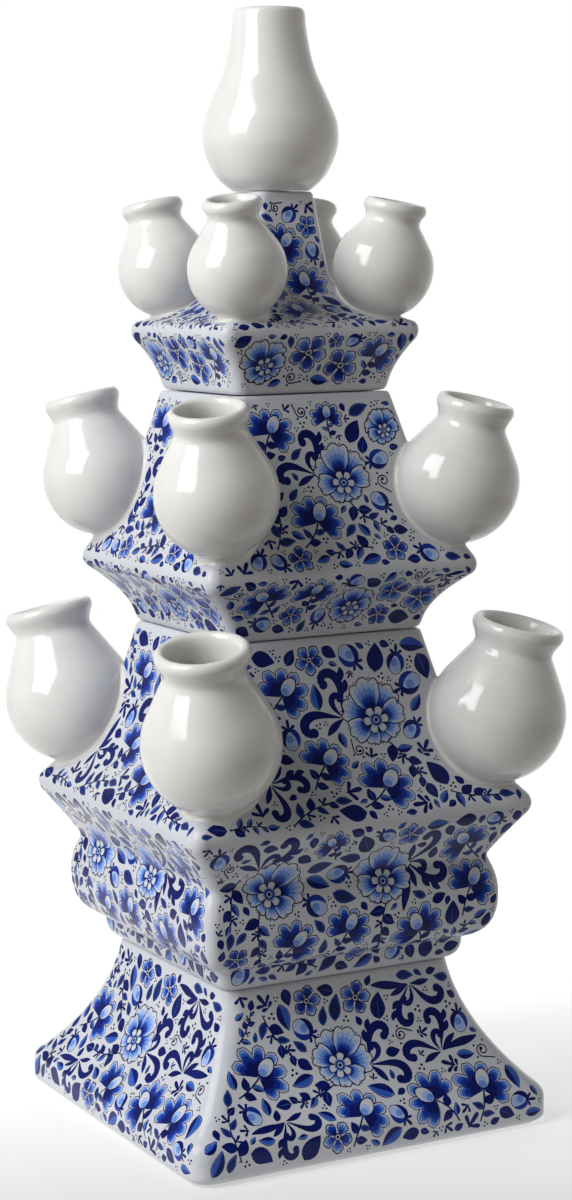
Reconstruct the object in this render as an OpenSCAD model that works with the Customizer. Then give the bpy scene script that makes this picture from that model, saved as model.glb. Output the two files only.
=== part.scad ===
// Pyramid tulip vase in three stacked square sections, with a spout on every hip and a bottle on top.
// Millimetres, +Z up. The origin is the centre of the foot's underside. The front face looks along -Y.

/* [Foot] */
// Side of the square foot at its rim
foot_side = 144; // [138:1:152]
// Height of the upright band round the rim
foot_rim_h = 12; // [8:1:16]
// Height of the foot, from the table to the waist
foot_h = 59.5; // [54:0.5:66]
// Side of the square waist, where the foot meets the lower tier
waist_side = 89.5; // [86:0.5:94]
// Radius that softens the foot's upright corners
foot_corner_r = 7; // [4:0.5:9]

/* [Lower tier] */
// Height of the lower tier, from the waist to the upper seam
lower_h = 120.5; // [116:0.5:126]
// Side across the small bead above the waist
bead_side = 99.5; // [97:0.5:104]
// Height of the bead above the waist
bead_z = 6.5; // [5:0.5:8]
// Side across the rounded bulge
bulge_side = 119; // [115:0.5:123]
// Height of the bulge's widest line above the waist
bulge_z = 25; // [22:0.5:28]
// Side across the groove between the bulge and the eave
groove_side = 112.5; // [109:0.5:114]
// Height of the groove above the waist
groove_z = 38.5; // [36:0.5:41]
// Side across the tips of the eave
lower_eave_side = 137; // [132:1:142]
// Height of the eave's tip above the waist
lower_eave_z = 58.5; // [55:0.5:62]
// Side of the roof where its curve runs into the upright collar
lower_collar_side = 87.5; // [84:0.5:90]
// Height of the collar's foot above the waist
lower_collar_z = 102.5; // [98:0.5:106]
// Side of the lower tier at the upper seam
lower_top_side = 78.5; // [76:0.5:82]

/* [Middle tier] */
// Height of the middle tier, from seam to seam
middle_h = 85; // [81:0.5:90]
// Side of the middle tier where it sits on the lower tier
middle_base_side = 79; // [77:0.5:83]
// Side across the tips of the eave
middle_eave_side = 109; // [105:1:113]
// Height of the eave's tip above the seam
middle_eave_z = 23.5; // [21:0.5:26]
// Side of the roof where its curve runs into the upright collar
middle_collar_side = 73; // [70:0.5:76]
// Height of the collar's foot above the seam
middle_collar_z = 66; // [63:0.5:69]
// Side of the middle tier at the upper seam
middle_top_side = 63; // [61:0.5:66]

/* [Top tier] */
// Height of the top tier, from its seam to the foot of the bottle
top_h = 71; // [67:0.5:76]
// Side of the top tier where it sits on the middle tier
top_base_side = 62; // [60:0.5:65]
// Side across the tips of the eave
top_eave_side = 79.5; // [76:0.5:83]
// Height of the eave's tip above the seam
top_eave_z = 21.5; // [19:0.5:24]
// Side of the slim column at its foot
column_foot_side = 32; // [30:0.5:34]
// Height of the column's foot above the seam
column_foot_z = 42; // [40:0.5:46]
// Side of the slim column under the bottle
column_top_side = 22; // [20:0.5:25]

/* [Lower spouts] */
// Diameter of the bulb
lower_bulb_d = 50; // [47:0.5:53]
// Diameter of the neck outside
lower_neck_d = 26.8; // [25:0.2:29]
// Diameter of the rolled lip
lower_lip_d = 33.2; // [31:0.2:36]
// Diameter of the neck's bore, which takes a stem
lower_bore_d = 20.4; // [18:0.2:21]
// Height of the lip above the bulb's centre, along the spout
lower_spout_rise = 35.5; // [33:0.5:38]
// Distance of the bulb's centre from the vase's axis, along the diagonal
lower_spout_out = 82; // [79:0.5:85]
// Height of the bulb's centre above the waist
lower_spout_z = 90.5; // [88:0.5:94]
// Outward lean of the spout
lower_spout_tilt = 14; // [10:1:18]

/* [Middle spouts] */
// Diameter of the bulb
middle_bulb_d = 44.6; // [42:0.2:47]
// Diameter of the neck outside
middle_neck_d = 23.6; // [22:0.2:26]
// Diameter of the rolled lip
middle_lip_d = 28; // [26.4:0.2:31]
// Diameter of the neck's bore, which takes a stem
middle_bore_d = 17.6; // [15:0.2:18]
// Height of the lip above the bulb's centre, along the spout
middle_spout_rise = 31.3; // [29:0.1:33]
// Distance of the bulb's centre from the vase's axis, along the diagonal
middle_spout_out = 67.8; // [65:0.2:70]
// Height of the bulb's centre above the seam
middle_spout_z = 53; // [51:0.5:56]
// Outward lean of the spout
middle_spout_tilt = 14; // [10:1:18]

/* [Top spouts] */
// Diameter of the bulb
top_bulb_d = 36; // [34:0.5:38]
// Diameter of the neck outside
top_neck_d = 18.6; // [17.6:0.2:20]
// Diameter of the rolled lip
top_lip_d = 22.6; // [21:0.2:25]
// Diameter of the neck's bore, which takes a stem
top_bore_d = 13.2; // [11:0.2:13.6]
// Height of the lip above the bulb's centre, along the spout
top_spout_rise = 25.2; // [23.6:0.2:27]
// Distance of the bulb's centre from the vase's axis, along the diagonal
top_spout_out = 41.2; // [39:0.2:43]
// Height of the bulb's centre above the seam
top_spout_z = 43.5; // [42:0.5:46]
// Outward lean of the spout
top_spout_tilt = 12; // [8:1:16]

/* [Bottle] */
// Height of the bottle above the column
bottle_h = 64; // [60:1:70]
// Diameter across the bottle's belly
bottle_d = 49; // [46:0.5:52]
// Height of the belly's widest line above the column
bottle_belly_z = 18.5; // [16:0.5:21]
// Diameter of the bottle's foot
bottle_foot_d = 31; // [29:0.5:33]
// Diameter of the bottle's lip
bottle_lip_d = 25.8; // [24:0.2:28]
// Diameter of the bottle's bore, which takes a stem
bottle_bore_d = 18.6; // [16:0.2:20]
// Length of the straight bore below the lip
bottle_bore_l = 14; // [10:1:18]
// Height above the column of the shoulder between belly and neck
bottle_shoulder_z = 36; // [33:0.5:39]

/* [Walls and fits] */
// Wall of the foot and the tiers
wall = 5; // [4:0.5:6]
// Wall of the spouts and the bottle
spout_wall = 3; // [2.4:0.2:3.4]
// Thickness of each tier's floor
floor_t = 6; // [5:0.5:8]
// Depth of the square spigot under the middle and top tiers
spigot_h = 10; // [7:0.5:12]
// Wall of the square spigot
spigot_wall = 4; // [3:0.5:5]
// Gap all round between a spigot and the mouth that it drops into
spigot_clear = 1; // [0.5:0.1:1.5]
// Radius that softens the hips of the tiers
tier_corner_r = 4.5; // [3:0.5:5.5]
// Diameter of the water holes under the spouts and the bottle
water_hole_d = 11; // [8:0.5:12]

/* [Roundings] */
// Bevel of the foot's rim and of the bead
rim_bevel = 1.5; // [1:0.1:2]
// Reach of the foot's hollow sweep past the waist
foot_sweep = 4; // [2:0.5:6]
// Height of an eave's blunt nose above and below its tip
eave_nose = 3; // [2:0.2:4]
// Setback of an eave's nose from its tip
eave_nose_set = 1.2; // [0.6:0.1:1.8]
// Bevel of the clay at the two seams
seam_bevel = 0.8; // [0.4:0.1:1.2]
// Height over which a spout's neck flares to its lip
lip_flare = 8; // [6:0.2:8.4]
// Radius of the rolled lips
lip_nose = 1.7; // [1.2:0.1:2]
// Depth over which a spout's mouth narrows to its bore
mouth_flare = 5; // [3:0.5:6]
// Radius that softens the inner corners of the hollows and the spigots
hollow_corner_r = 3.5; // [2.5:0.5:4.5]

/* [Hidden] */
$fn = 64;

// The corners that carry spouts, as angles about the vase's axis
front_left = 225;
front_right = 315;
back_right = 45;
back_left = 135;
corners = [front_left, front_right, back_right, back_left];

// Levels of the two seams and of the bottle's foot; the waist is at foot_h
lower_seam = foot_h + lower_h;
upper_seam = lower_seam + middle_h;
bottle_level = upper_seam + top_h;

// Straight pieces that a curve is drawn with
curve_steps = 6;
// Angle above a bulb's equator where its shoulder starts to slope to the neck
shoulder_angle = 37;
// Depth of that start below the bulb's skin
shoulder_set = 0.2;
// Overshoot of a cut past the face that it opens
past = 1;
// Length of the prisms that a square body is cut from
reach = 2 * foot_side;
// Length of a water hole below the bulb's centre, in bulb diameters
water_hole_reach = 0.68;

glaze = "whitesmoke";
painted_glaze = "lightsteelblue";

// A quadratic curve from a to c, pulled towards b, in points after the first
function curve(a, b, c) = [
    for (i = [1 : curve_steps])
        let (t = i / curve_steps)
        (1 - t) * (1 - t) * a + 2 * t * (1 - t) * b + t * t * c
];

// The underside, tip and upper edge of an eave's blunt round nose
function nose_under(half, z) = [half - eave_nose_set, z - eave_nose];
function nose_over(half, z) = [half - eave_nose_set, z + eave_nose];

// The point that a hollowed roof's curve is pulled towards, in line with the collar above it
function roof_bend(half, z, collar_half, collar_z, top_half, top_z) =
    let (
        lean = (collar_half - top_half) / (top_z - collar_z),
        drop = (collar_z - nose_over(half, z).y) / 2
    )
    [collar_half + lean * drop, collar_z - drop];

// Eave and roof of a tier: nose, hollow sweep, then the straight collar up to top_z
function roof(half, z, collar_half, collar_z, top_half, top_z) =
    concat(
        [nose_under(half, z), [half, z], nose_over(half, z)],
        curve(
            nose_over(half, z),
            roof_bend(half, z, collar_half, collar_z, top_half, top_z),
            [collar_half, collar_z]
        ),
        [[top_half, top_z]]
    );

// The roof's inner face, one wall inside it, from the eave to the collar's foot
function roof_inside(half, z, collar_half, collar_z, top_half, top_z) =
    concat(
        [[half - 2 * wall, z]],
        curve(
            [half - 2 * wall, z],
            roof_bend(half, z, collar_half, collar_z, top_half, top_z) - [wall / 2, wall],
            [collar_half - wall, collar_z]
        )
    );

// Cove that rises upright from a seam and sweeps out to the underside of the eave
function cove(base_half, base_z, half, z) =
    let (
        start = [base_half, base_z + seam_bevel],
        end = nose_under(half, z),
        bend = [base_half + eave_nose_set, (start.y + end.y) / 2],
        sweep = curve(start, bend, end)
    )
    concat(
        [[base_half - seam_bevel, base_z], start],
        [for (i = [0 : curve_steps - 2]) sweep[i]]
    );

// Half outlines of the painted bodies, as [half side, height] from the bottom up
foot_half = foot_side / 2;
waist_half = waist_side / 2;
bead_half = bead_side / 2;
bulge_half = bulge_side / 2;
groove_half = groove_side / 2;

foot_outline = concat(
    [
        [foot_half - rim_bevel, 0],
        [foot_half, rim_bevel],
        [foot_half, foot_rim_h],
        [foot_half - rim_bevel, foot_rim_h + rim_bevel]
    ],
    curve(
        [foot_half - rim_bevel, foot_rim_h + rim_bevel],
        [waist_half + foot_sweep, (foot_rim_h + foot_h) / 2],
        [waist_half, foot_h]
    )
);
foot_hollow = concat(
    [[foot_half - wall, -past], [foot_half - wall, foot_rim_h - wall / 2]],
    curve(
        [foot_half - wall, foot_rim_h - wall / 2],
        [waist_half + foot_sweep - wall, (foot_rim_h + foot_h - wall) / 2],
        [waist_half - wall, foot_h]
    ),
    [[waist_half - wall, foot_h + past]]
);

lower_roof = roof(
    lower_eave_side / 2, foot_h + lower_eave_z,
    lower_collar_side / 2, foot_h + lower_collar_z,
    lower_top_side / 2, lower_seam
);
bead_top = [bead_half, foot_h + bead_z + rim_bevel];
bulge_tip = [bulge_half, foot_h + bulge_z];
groove_bed = [groove_half, foot_h + groove_z];
groove_sweep = curve(groove_bed, groove_bed + [eave_nose_set, eave_nose], lower_roof[0]);
lower_outline = concat(
    [
        [waist_half, foot_h],
        [bead_half - rim_bevel, foot_h + bead_z / 2],
        [bead_half, foot_h + bead_z],
        bead_top
    ],
    curve(bead_top, [bulge_half, bead_top.y + rim_bevel], bulge_tip),
    curve(bulge_tip, [bulge_half, (bulge_tip.y + groove_bed.y) / 2], groove_bed),
    [for (i = [0 : curve_steps - 2]) groove_sweep[i]],
    lower_roof
);
lower_mouth_half = lower_top_side / 2 - wall;
lower_hollow = concat(
    [
        [waist_half - wall, foot_h + floor_t],
        [groove_half - wall, foot_h + bead_z + 2 * floor_t],
        [groove_half - wall, foot_h + groove_z]
    ],
    roof_inside(
        lower_eave_side / 2, foot_h + lower_eave_z,
        lower_collar_side / 2, foot_h + lower_collar_z,
        lower_top_side / 2, lower_seam
    ),
    [
        [lower_mouth_half, lower_seam - spigot_h - past],
        [lower_mouth_half, lower_seam + past]
    ]
);

middle_roof = roof(
    middle_eave_side / 2, lower_seam + middle_eave_z,
    middle_collar_side / 2, lower_seam + middle_collar_z,
    middle_top_side / 2, upper_seam
);
middle_outline = concat(
    cove(middle_base_side / 2, lower_seam, middle_eave_side / 2, lower_seam + middle_eave_z),
    middle_roof
);
middle_mouth_half = middle_top_side / 2 - wall;
middle_hollow = concat(
    [[middle_base_side / 2 - wall, lower_seam + floor_t]],
    roof_inside(
        middle_eave_side / 2, lower_seam + middle_eave_z,
        middle_collar_side / 2, lower_seam + middle_collar_z,
        middle_top_side / 2, upper_seam
    ),
    [
        [middle_mouth_half, upper_seam - spigot_h - past],
        [middle_mouth_half, upper_seam + past]
    ]
);

top_roof = roof(
    top_eave_side / 2, upper_seam + top_eave_z,
    column_foot_side / 2, upper_seam + column_foot_z,
    column_top_side / 2, bottle_level
);
top_outline = concat(
    cove(top_base_side / 2, upper_seam, top_eave_side / 2, upper_seam + top_eave_z),
    top_roof
);
top_hollow = concat(
    [[top_base_side / 2 - wall, upper_seam + floor_t]],
    roof_inside(
        top_eave_side / 2, upper_seam + top_eave_z,
        column_foot_side / 2, upper_seam + column_foot_z,
        column_top_side / 2, bottle_level
    ),
    [[column_top_side / 2 - wall, bottle_level - wall]]
);

// A prism of the outline's full width, turned about the vase's axis
module prism(outline, turn) {
    last = len(outline) - 1;
    left = [for (i = [last : -1 : 0]) [-outline[i].x, outline[i].y]];
    rotate([90, 0, turn])
        linear_extrude(height = reach, center = true)
            polygon(concat(outline, left));
}

// The outline on the diagonal, across corners of radius r
function across_corners(outline, r) = [for (p = outline) [(p.x - r) * sqrt(2) + r, p.y]];

// A body of square plan whose four faces follow the outline and whose hips are softened by r
module square_body(outline, r) {
    intersection() {
        prism(outline, 0);
        prism(outline, 90);
        prism(across_corners(outline, r), 45);
        prism(across_corners(outline, r), -45);
    }
}

// Carries its child out along a corner's diagonal, up to a bulb's centre and over by the tilt
module at_corner(corner, out, z, tilt) {
    rotate([0, 0, corner])
        translate([out, 0, z])
            rotate([0, tilt, 0])
                children();
}

// Holes from the four bulbs of a tier down into its hollow
module water_holes(out, z, tilt, bulb_d) {
    for (corner = corners)
        at_corner(corner, out, z, tilt)
            translate([0, 0, -water_hole_reach * bulb_d])
                cylinder(d = water_hole_d, h = water_hole_reach * bulb_d);
}

// Square ring under a tier that drops into the mouth of the tier below it
module spigot(mouth_half, seam) {
    half = mouth_half - spigot_clear;
    bottom = seam - spigot_h;
    difference() {
        square_body([[half, bottom], [half, seam + past]], hollow_corner_r);
        square_body(
            [[half - spigot_wall, bottom - past], [half - spigot_wall, seam]],
            hollow_corner_r
        );
    }
}

// Right half of a round piece's section, ready to turn about its axis
module right_half(size) {
    intersection() {
        children();
        translate([0, -size])
            square([size, 2 * size]);
    }
}

// A bulb with a short neck and a rolled lip, thrown as a shell about its own axis
module spout_shell(bulb_d, neck_d, lip_d, bore_d, rise) {
    neck_r = neck_d / 2;
    lip_r = lip_d / 2;
    bore_r = bore_d / 2;
    neck_z = rise - lip_flare;
    shoulder = (bulb_d / 2 - shoulder_set) * [cos(shoulder_angle), sin(shoulder_angle)];
    slope_end = shoulder.y + (shoulder.x - neck_r) / tan(shoulder_angle);
    neck = concat(
        [[0, 0], shoulder],
        curve(shoulder, [neck_r, min(neck_z, slope_end)], [neck_r, neck_z]),
        [
            [lip_r, rise - 2 * lip_nose],
            [lip_r, rise - lip_nose],
            [lip_r - lip_nose, rise],
            [0, rise]
        ]
    );
    difference() {
        rotate_extrude()
            right_half(rise + past) {
                union() {
                    circle(d = bulb_d);
                    polygon(neck);
                }
            }
        rotate_extrude()
            right_half(rise + past)
                circle(d = bulb_d - 2 * spout_wall);
        cylinder(r = bore_r, h = rise - mouth_flare);
        translate([0, 0, rise - mouth_flare])
            cylinder(r1 = bore_r, r2 = lip_r - 2 * lip_nose, h = mouth_flare);
        translate([0, 0, rise])
            cylinder(r = lip_r - 2 * lip_nose, h = past);
    }
}

module foot() {
    color(painted_glaze)
        difference() {
            square_body(foot_outline, foot_corner_r);
            square_body(foot_hollow, foot_corner_r);
        }
}

module lower_tier() {
    color(painted_glaze)
        difference() {
            square_body(lower_outline, tier_corner_r);
            square_body(lower_hollow, hollow_corner_r);
            water_holes(lower_spout_out, foot_h + lower_spout_z, lower_spout_tilt, lower_bulb_d);
        }
}

module middle_tier() {
    color(painted_glaze)
        difference() {
            union() {
                square_body(middle_outline, tier_corner_r);
                spigot(lower_mouth_half, lower_seam);
            }
            square_body(middle_hollow, hollow_corner_r);
            water_holes(middle_spout_out, lower_seam + middle_spout_z, middle_spout_tilt, middle_bulb_d);
        }
}

module top_tier() {
    color(painted_glaze)
        difference() {
            union() {
                square_body(top_outline, tier_corner_r);
                spigot(middle_mouth_half, upper_seam);
            }
            square_body(top_hollow, hollow_corner_r);
            water_holes(top_spout_out, upper_seam + top_spout_z, top_spout_tilt, top_bulb_d);
            translate([0, 0, bottle_level - 2 * wall])
                cylinder(d = water_hole_d, h = 2 * wall + past);
        }
}

module lower_spout(corner) {
    color(glaze)
        difference() {
            at_corner(corner, lower_spout_out, foot_h + lower_spout_z, lower_spout_tilt)
                spout_shell(lower_bulb_d, lower_neck_d, lower_lip_d, lower_bore_d, lower_spout_rise);
            square_body(lower_roof, tier_corner_r);
        }
}

module middle_spout(corner) {
    color(glaze)
        difference() {
            at_corner(corner, middle_spout_out, lower_seam + middle_spout_z, middle_spout_tilt)
                spout_shell(middle_bulb_d, middle_neck_d, middle_lip_d, middle_bore_d, middle_spout_rise);
            square_body(middle_roof, tier_corner_r);
        }
}

module top_spout(corner) {
    color(glaze)
        difference() {
            at_corner(corner, top_spout_out, upper_seam + top_spout_z, top_spout_tilt)
                spout_shell(top_bulb_d, top_neck_d, top_lip_d, top_bore_d, top_spout_rise);
            square_body(top_roof, tier_corner_r);
        }
}

// Belly, drawn-in shoulder and neck of the bottle, as [radius, height] above the column
module bottle() {
    foot_r = bottle_foot_d / 2;
    belly_r = bottle_d / 2;
    lip_r = bottle_lip_d / 2;
    bore_r = bottle_bore_d / 2;
    hole_r = water_hole_d / 2;
    neck_z = bottle_h - bottle_bore_l;
    belly = [belly_r, bottle_belly_z];
    shoulder = [(belly_r + lip_r) / 2, bottle_shoulder_z];
    lip = [lip_r, bottle_h - lip_nose];
    outside = concat(
        [[foot_r, 0]],
        curve([foot_r, 0], [belly_r, bottle_belly_z / 3], belly),
        curve(belly, [belly_r, (bottle_belly_z + bottle_shoulder_z) / 2], shoulder),
        curve(shoulder, [lip_r, neck_z - lip_nose], lip),
        [[lip_r - lip_nose, bottle_h]]
    );
    inside = concat(
        [[bore_r, bottle_h], [bore_r, neck_z]],
        curve([bore_r, neck_z], shoulder - [2 * spout_wall, 0], belly - [spout_wall, 0]),
        curve(belly - [spout_wall, 0], [belly_r - spout_wall, 2 * spout_wall], [foot_r, spout_wall]),
        [[hole_r, spout_wall], [hole_r, 0]]
    );
    color(glaze)
        translate([0, 0, bottle_level])
            rotate_extrude()
                polygon(concat(outside, inside));
}

foot();
lower_tier();
middle_tier();
top_tier();
bottle();
lower_spout(front_left);  // lower_spout_front_left
lower_spout(front_right);  // lower_spout_front_right
lower_spout(back_right);  // lower_spout_back_right
lower_spout(back_left);  // lower_spout_back_left
middle_spout(front_left);  // middle_spout_front_left
middle_spout(front_right);  // middle_spout_front_right
middle_spout(back_right);  // middle_spout_back_right
middle_spout(back_left);  // middle_spout_back_left
top_spout(front_left);  // top_spout_front_left
top_spout(front_right);  // top_spout_front_right
top_spout(back_right);  // top_spout_back_right
top_spout(back_left);  // top_spout_back_left
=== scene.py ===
import bpy
import numpy as np
from mathutils import Matrix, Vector
from mathutils.geometry import delaunay_2d_cdt


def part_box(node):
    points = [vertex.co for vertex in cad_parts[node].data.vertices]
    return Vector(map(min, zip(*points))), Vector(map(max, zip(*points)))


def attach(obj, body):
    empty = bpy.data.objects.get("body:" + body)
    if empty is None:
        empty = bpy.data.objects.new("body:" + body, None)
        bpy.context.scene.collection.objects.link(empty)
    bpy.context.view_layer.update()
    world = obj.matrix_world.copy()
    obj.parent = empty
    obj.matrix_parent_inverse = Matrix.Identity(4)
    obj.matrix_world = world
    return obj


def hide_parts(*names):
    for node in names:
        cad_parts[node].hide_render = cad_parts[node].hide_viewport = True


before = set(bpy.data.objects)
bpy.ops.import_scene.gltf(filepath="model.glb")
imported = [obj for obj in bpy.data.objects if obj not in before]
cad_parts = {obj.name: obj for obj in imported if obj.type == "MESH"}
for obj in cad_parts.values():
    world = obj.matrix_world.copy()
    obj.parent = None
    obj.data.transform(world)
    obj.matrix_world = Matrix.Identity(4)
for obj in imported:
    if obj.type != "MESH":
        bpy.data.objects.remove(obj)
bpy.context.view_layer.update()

# FOOT
# The real foot is a hollow square plinth of slip-cast white earthenware, open underneath, with a
# soft upright rim and a hollow sweep up to the waist. It is dipped in tin glaze, painted in cobalt
# before the glaze is fired, and luted under the lowest tier.

MM = 0.001
FULL, THIRD, FIFTH, SIXTH = 6.28, 2.094, 1.257, 1.047   # a turn and its parts, in radians
foot_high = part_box("foot")[1]
foot_half = foot_high.x / MM
waist_z = foot_high.z / MM
waist_half = 46.0
foot_wall = 5.0
foot_corner = 7.0
foot_rim_z = 12.0


def arc(start, pull, end, steps=16):
    """Points after start of the quadratic curve from start to end that leans towards pull."""
    t = np.linspace(0, 1, steps + 1)[1:, None]
    start, pull, end = (np.array(p, float) for p in (start, pull, end))
    return (1 - t) ** 2 * start + 2 * t * (1 - t) * pull + t ** 2 * end


def run(path):
    """The length along a path up to each of its points."""
    return np.concatenate([[0], np.cumsum(np.hypot(*np.diff(path, axis=0).T))])


def softened(stretches, spread, step=1.2, closed=False):
    """One outline of even steps through all stretches, with its corners rubbed round.

    The points are respaced a quarter step apart by length, each is averaged with its neighbours
    by a bell curve of the given spread in mm, and every fourth is kept.
    """
    path = np.vstack([np.atleast_2d(s) for s in stretches])
    if closed:
        path = np.vstack([path, path[:1]])
    far = run(path)
    count = 4 * int(round(far[-1] / step))
    even = np.linspace(0, far[-1], count + 1)
    fine = np.column_stack([np.interp(even, far, path[:, k]) for k in (0, 1)])
    gap = far[-1] / count
    reach = int(np.ceil(3 * spread / gap))
    bell = np.exp(-0.5 * (np.arange(-reach, reach + 1) * gap / spread) ** 2)
    bell /= bell.sum()
    if closed:
        before, after = fine[-reach - 1:-1], fine[1:reach + 1]
    else:
        before, after = 2 * fine[0] - fine[reach:0:-1], 2 * fine[-1] - fine[-2:-reach - 2:-1]
    long = np.vstack([before, fine, after])
    soft = np.column_stack([np.convolve(long[:, k], bell, "valid") for k in (0, 1)])
    return soft[:-1:4] if closed else soft[::4]


def noise(p, length, seed):
    """A smooth wander between about -1 and 1 over points p: the mean of six sine waves of the given
    wave length and random lean, times 1.8."""
    lean = np.random.default_rng(seed).normal(size=(6, 3))
    lean *= 2 * np.pi / length / np.linalg.norm(lean, axis=1)[:, None]
    shift = np.random.default_rng(seed + 1).uniform(0, FULL, 6)
    return np.sin(p @ lean.T + shift).mean(1) * 1.8


def linear(code):
    """An sRGB hex colour as linear RGBA."""
    c = np.array([int(code[k:k + 2], 16) for k in (1, 3, 5)]) / 255
    return (*np.where(c <= 0.04045, c / 12.92, ((c + 0.055) / 1.055) ** 2.4), 1.0)


def node(tree, kind, links=(), values=(), **settings):
    """Adds one node, sets its properties or its sockets by name, then (socket, value) pairs, and
    links (socket, source) pairs."""
    n = tree.nodes.new(kind)
    for key, value in settings.items():
        if hasattr(n, key):
            setattr(n, key, value)
        else:
            n.inputs[key.replace("_", " ")].default_value = value
    for socket, value in values:
        n.inputs[socket].default_value = value
    for socket, source in links:
        tree.links.new(source, n.inputs[socket])
    return n


# Tin glaze painted in cobalt: the white is opaque and milky, and the blue has sunk into it, so both
# share one smooth gloss, with a weak mirror, as on the painted faces of the real one. Tone runs along
# U in eight flat bands, and V shifts each a little, as thick and thin washes of one colour do.
WHITE, PALE, LIGHT, MID, DARK, DEEP, LINE, DUSK = range(8)
thin_wash = ["#CACBD0", "#A4BBE4", "#6F94D8", "#3560C0", "#14369C", "#0B1C6E", "#0A1554", "#162E74"]
full_wash = ["#C0C2C8", "#8EA8DA", "#587CC4", "#244AA2", "#0E267A", "#08114A", "#070E3C", "#0E1A4E"]
BANDS = len(thin_wash)

painted_glaze = bpy.data.materials.new("tin_glaze_painted_in_cobalt")
painted_glaze.use_nodes = True
tree = painted_glaze.node_tree
tree.nodes.clear()
place = node(tree, "ShaderNodeUVMap", uv_map="OFBake")
tone = node(tree, "ShaderNodeSeparateXYZ", [("Vector", place.outputs["UV"])])
wash = node(tree, "ShaderNodeMix", [(0, tone.outputs["Y"])], data_type="RGBA")
for socket, colours in ((6, thin_wash), (7, full_wash)):
    ramp = node(tree, "ShaderNodeValToRGB", [("Fac", tone.outputs["X"])])
    ramp.color_ramp.interpolation = "CONSTANT"
    stops = ramp.color_ramp.elements
    stops.remove(stops[1])
    stops[0].color = linear(colours[0])
    for k, code in enumerate(colours[1:], 1):
        stops.new(k / BANDS).color = linear(code)
    tree.links.new(ramp.outputs["Color"], wash.inputs[socket])
skin = node(tree, "ShaderNodeBsdfPrincipled", [("Base Color", wash.outputs[2])],
            Roughness=0.13, IOR=1.42, Specular_IOR_Level=0.25)
node(tree, "ShaderNodeOutputMaterial", [("Surface", skin.outputs["BSDF"])])

# The painter's marks. Each is a drawing: a list of (outline, tone) patches in mm, in painting order.
BRISTLE = 0.02  # least half width of a mark


def turned(points, angle, at=(0.0, 0.0)):
    """Points turned by angle about the origin, then moved to at."""
    c, s = np.cos(angle), np.sin(angle)
    return np.asarray(points, float) @ np.array([[c, s], [-s, c]]) + at


def moved(patches, angle, at=(0.0, 0.0)):
    """A drawing turned and moved."""
    return [(turned(p, angle, at), tone) for p, tone in patches]


def shrunk(outline, edge):
    """An outline drawn in by edge, along its normals."""
    along = np.roll(outline, -1, 0) - np.roll(outline, 1, 0)
    along /= np.linalg.norm(along, axis=1)[:, None] + 1e-9
    x, y = outline.T
    hand = np.sign((x * np.roll(y, -1) - y * np.roll(x, -1)).sum())
    return outline + hand * edge * np.column_stack([-along[:, 1], along[:, 0]])


def inked(outline, *rims):
    """An outline in ink, with (edge, tone) washes inside it that are each drawn in by edge."""
    return [(outline, LINE)] + [(shrunk(outline, edge), tone) for edge, tone in rims]


def stroke(spine, half_width):
    """A brush stroke: the spine with half_width laid off to its right and left."""
    along = np.gradient(spine, axis=0)
    along /= np.linalg.norm(along, axis=1)[:, None] + 1e-9
    side = np.column_stack([along[:, 1], -along[:, 0]]) * np.reshape(half_width, (-1, 1))
    return np.vstack([spine + side, (spine - side)[::-1]])


def leaning(length, lean, s):
    """A spine up Y that leans over as s squared, at the shares s of its length."""
    return np.column_stack([lean * length * s * s, length * s])


def disc(radius, at=(0.0, 0.0), sides=8):
    """A round dot of straight sides."""
    a = np.arange(sides) * 2 * np.pi / sides
    return np.column_stack([np.cos(a), np.sin(a)]) * radius + at


def blade(length, width, lean):
    """A pointed leaf from the origin up Y: a leaning spine, half as wide as sin(pi s^0.8)^0.9."""
    s = np.linspace(0, 1, 9)
    half = width / 2 * np.sin(np.pi * s ** 0.8) ** 0.9 + BRISTLE
    return stroke(leaning(length, lean, s), half)


def lobe(length, width, lean=0.0):
    """A round-ended petal up Y: a leaning spine, half as wide as s^0.6 (1 - s^5)^0.5."""
    s = np.linspace(0, 1, 9) ** 0.8
    half = 0.58 * width * s ** 0.6 * np.sqrt(1 - s ** 5) + BRISTLE
    return stroke(leaning(length, lean, s), half)


def fan(length, spread, scallops, depth=0.1, steps=25):
    """A broad petal up Y: a fan of half angle spread over q from -1 to 1, whose edge has the radius
    r = length (1 - 0.4 q^4) (1 - depth (1 - |cos(pi scallops q / 2)|))."""
    q = np.linspace(1, -1, steps)
    wave = 1 - np.abs(np.cos(np.pi / 2 * scallops * q))
    r = length * (1 - 0.4 * q ** 4) * (1 - depth * wave)
    rim = np.column_stack([r * np.sin(spread * q), r * np.cos(spread * q)])
    return np.vstack([[[0, 0.1 * length]], rim])


def shaded_fan(length, spread, scallops, washes):
    """A fan petal in ink, left white inside its edge, with washes (share of length, tone) that
    darken to its foot with the fingered ends of brush strokes."""
    patches = inked(fan(length, spread, scallops), (0.46, WHITE))
    for share, tone in washes:
        fingers = fan(share * length, 0.88 * spread * share ** 0.3, 6, 0.12, 13)
        patches.append((fingers, tone))
    return patches


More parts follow.
